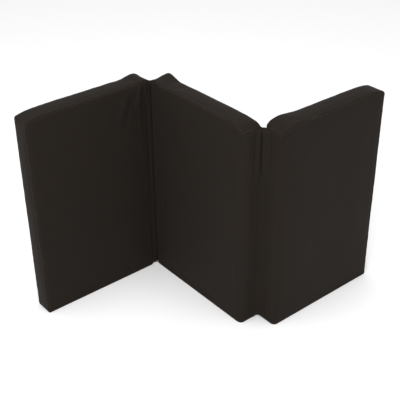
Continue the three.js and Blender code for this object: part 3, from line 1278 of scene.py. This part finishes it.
def zip_tape(pad, half):
    """One zip tape with its row of coil teeth along the inner edge."""
    node = f"{pad.name}_zip_{half}_tape"
    low, high = local_box(pad, node)
    thickness = 0.0006
    pitch = 0.0024
    reach = 0.0011  # from the tape's edge in to the row of teeth
    tooth = (0.0009, 0.0016, 0.0011)
    level = low[UP] + 0.0004
    middle = (low + high) / 2
    size = high - low
    bm = bmesh.new()
    bmesh.ops.create_grid(bm, x_segments=90, y_segments=5, size=0.5)
    bmesh.ops.scale(bm, verts=bm.verts, vec=(size[ALONG], size[IN], 1))
    bmesh.ops.translate(bm, verts=bm.verts, vec=(middle[ALONG], middle[IN], level))
    map_by_facing(bm)
    solid = bmesh.ops.extrude_face_region(bm, geom=bm.faces[:])["geom"]
    raised = [item for item in solid if isinstance(item, bmesh.types.BMVert)]
    bmesh.ops.translate(bm, verts=raised, vec=(0, 0, thickness))
    start, end = pad_zip_run(pad)
    row = high[IN] - reach if half == "front" else low[IN] + reach
    shift = 0.0 if half == "front" else pitch / 2
    for k in range(int((end - start) / pitch)):
        bead(bm, (start + shift + k * pitch, row, level + 2 * thickness), tooth)
    bmesh.ops.recalc_face_normals(bm, faces=bm.faces)
    made = new_object(f"{node}_woven", mesh_of(bm, node))
    pad.place(made)
    return made


def pad_zip_run(pad):
    """Where the zip's teeth start and end along the pad: between its two stops."""
    open_low, _ = local_box(pad, f"{pad.name}_zip_open_stop")
    _, shut_high = local_box(pad, f"{pad.name}_zip_shut_stop")
    return open_low[ALONG] + 0.001, shut_high[ALONG] - 0.001


def hem_stitches(pad, half):
    """A row of stitches on the boxing beside the zip's opening."""
    low, high = local_box(pad, f"{pad.name}_bottom_boxing_{half}")
    pitch = 0.0042
    stitch = 0.0031
    thread = 0.0004
    inset = 0.004
    margin = 0.05
    line = high[IN] - inset if half == "front" else low[IN] + inset
    start, end = margin, pad.size[ALONG] - margin
    bm = bmesh.new()
    for k in range(int((end - start) / pitch)):
        bead(bm, (start + k * pitch, line, thread), (stitch / 2, thread, thread))
    made = new_object(f"{pad.name}_zip_stitches_{half}", mesh_of(bm, "stitches"))
    pad.place(made)
    return made


def care_label(cover):
    """The blank ribbon label, sewn on along its top edge, lying on the pad's end and a little
    curled at its foot."""
    pad = Pad("left")
    low, high = (Vector(corner) for corner in local_box(pad, "care_label"))
    size = high - low
    bm = bmesh.new()
    bmesh.ops.create_grid(bm, x_segments=14, y_segments=24, size=0.5)
    uv = bm.loops.layers.uv.new("cloth")
    for face in bm.faces:
        for loop in face.loops:
            loop[uv].uv = (loop.vert.co.x * size.y, loop.vert.co.y * size.z)
    mesh = mesh_of(bm, "care_label")
    across, up, _ = (coordinates(mesh) + 0.5).T
    flat = np.column_stack([
        np.full(len(up), pad.size[ALONG]), low.y + across * size.y, low.z + up * size.z
    ])
    points = pad_shape(pad, flat, cover)
    lift = 0.0028
    curl = 0.0026
    wave = 0.0006
    curled = curl * (1 - up) ** 2 + wave * np.sin(across * 5 + up * 3) * (1 - up)
    points[:, ALONG] += lift + curled
    set_coordinates(mesh, points)
    made = new_object("care_label_ribbon", mesh)
    pad.place(made)
    ribbon = 0.0002
    thicken(made, ribbon, 0)
    return made, (size.y, size.z)


class MATTRESS_OT_zips(bpy.types.Operator):
    """Makes the zip tapes with their teeth and stitches, and finishes the sliders and stops"""

    bl_idname = "mattress.zips"
    bl_label = "Make Zips"

    def execute(self, context):
        groups = shared_groups()
        tape_cloth = tape_material(groups)
        metal = zip_metal_material()
        thread = woven_cloth("zip hem thread", (0.03, 0.026, 0.023), groups, pitch=0.0004, sheen=0.1)
        for name in PADS:
            pad = Pad(name)
            for half in ("front", "back"):
                tape = zip_tape(pad, half)
                tape.data.materials.append(tape_cloth)
                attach(tape, pad.body)
                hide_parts(f"{name}_zip_{half}_tape")
                stitches = hem_stitches(pad, half)
                stitches.data.materials.append(thread)
                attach(stitches, pad.body)
            for part in ("slider", "pull", "open_stop", "shut_stop"):
                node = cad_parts[f"{name}_zip_{part}"]
                for slot in node.material_slots:
                    slot.material = metal
        return {"FINISHED"}


class MATTRESS_OT_label(bpy.types.Operator):
    """Makes the blank care label"""

    bl_idname = "mattress.label"
    bl_label = "Make Label"

    def execute(self, context):
        label, flat = care_label(context.scene.mattress_cover)
        label.data.materials.append(label_material())
        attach(label, "left_pad")
        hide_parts("care_label")
        return {"FINISHED"}


# ---- Stage ----


def lamp(name, place, target, size, power):
    data = bpy.data.lights.new(name, "AREA")
    data.shape = "DISK"
    data.size = size
    data.energy = power
    made = bpy.data.objects.new(name, data)
    made.location = place
    made.rotation_euler = (Vector(target) - Vector(place)).to_track_quat("-Z", "Y").to_euler()
    bpy.context.scene.collection.objects.link(made)


class MATTRESS_OT_stage(bpy.types.Operator):
    """Sets the camera, a plain pale floor and soft lamps"""

    bl_idname = "mattress.stage"
    bl_label = "Set Stage"

    def execute(self, context):
        stage = context.scene.mattress_stage
        scene = context.scene
        data = bpy.data.cameras.new("camera")
        data.lens = stage.lens
        data.clip_end = 60
        camera = bpy.data.objects.new("camera", data)
        foot = fold_axis("left")
        foot.z = 0
        turn = Matrix.Rotation(stage.camera_heading, 4, "Z")
        tilt = Matrix.Rotation(math.pi / 2 - stage.camera_pitch, 4, "X")
        roll = Matrix.Rotation(stage.camera_roll, 4, "Z")
        camera.matrix_world = (
            Matrix.Translation(foot + Vector(stage.camera_from_fold)) @ turn @ tilt @ roll
        )
        scene.collection.objects.link(camera)
        scene.camera = camera
        bm = bmesh.new()
        bmesh.ops.create_grid(bm, x_segments=1, y_segments=1, size=20)
        floor = new_object("floor", mesh_of(bm, "floor"))
        material, _, surface = principled("floor")
        surface["Base Color"].default_value = (0.9, 0.9, 0.9, 1)
        surface["Roughness"].default_value = 0.9
        surface["Specular IOR Level"].default_value = 0.1
        floor.data.materials.append(material)
        world = bpy.data.worlds.new("world")
        world.use_nodes = True
        background = world.node_tree.nodes["Background"].inputs
        background["Color"].default_value = (1, 1, 1, 1)
        background["Strength"].default_value = 0.9
        scene.world = world
        scene.view_settings.view_transform = "Standard"
        lamp("key", (2.9, -3.8, 4.0), (0, 0, 0.5), 2.6, 190)
        lamp("top", (0.2, -0.4, 4.6), (0, 0, 0.6), 3.0, 60)
        return {"FINISHED"}


# ---- Add-on parts ----


class MATTRESS_PT_panel(bpy.types.Panel):
    """The mattress's steps, in the order that they are run"""

    bl_idname = "MATTRESS_PT_panel"
    bl_label = "Folding Mattress"
    bl_space_type = "VIEW_3D"
    bl_region_type = "UI"
    bl_category = "Mattress"

    def draw(self, context):
        for step in STEPS:
            self.layout.operator(step.bl_idname)


STEPS = (
    MATTRESS_OT_foam,
    MATTRESS_OT_cover,
    MATTRESS_OT_folds,
    MATTRESS_OT_zips,
    MATTRESS_OT_label,
    MATTRESS_OT_stage,
)
SETTINGS = {
    "mattress_cover": MattressCover,
    "mattress_folds": MattressFolds,
    "mattress_stage": MattressStage,
}


def register():
    for settings in SETTINGS.values():
        bpy.utils.register_class(settings)
    for name, settings in SETTINGS.items():
        setattr(bpy.types.Scene, name, bpy.props.PointerProperty(type=settings))
    for step in (*STEPS, MATTRESS_PT_panel):
        bpy.utils.register_class(step)


def unregister():
    for step in (*STEPS, MATTRESS_PT_panel):
        bpy.utils.unregister_class(step)
    for name, settings in SETTINGS.items():
        delattr(bpy.types.Scene, name)
        bpy.utils.unregister_class(settings)


def main():
    register()
    bpy.ops.mattress.foam()
    bpy.ops.mattress.cover()
    bpy.ops.mattress.folds()
    bpy.ops.mattress.zips()
    bpy.ops.mattress.label()
    bpy.ops.mattress.stage()


if __name__ == "__main__":
    main()
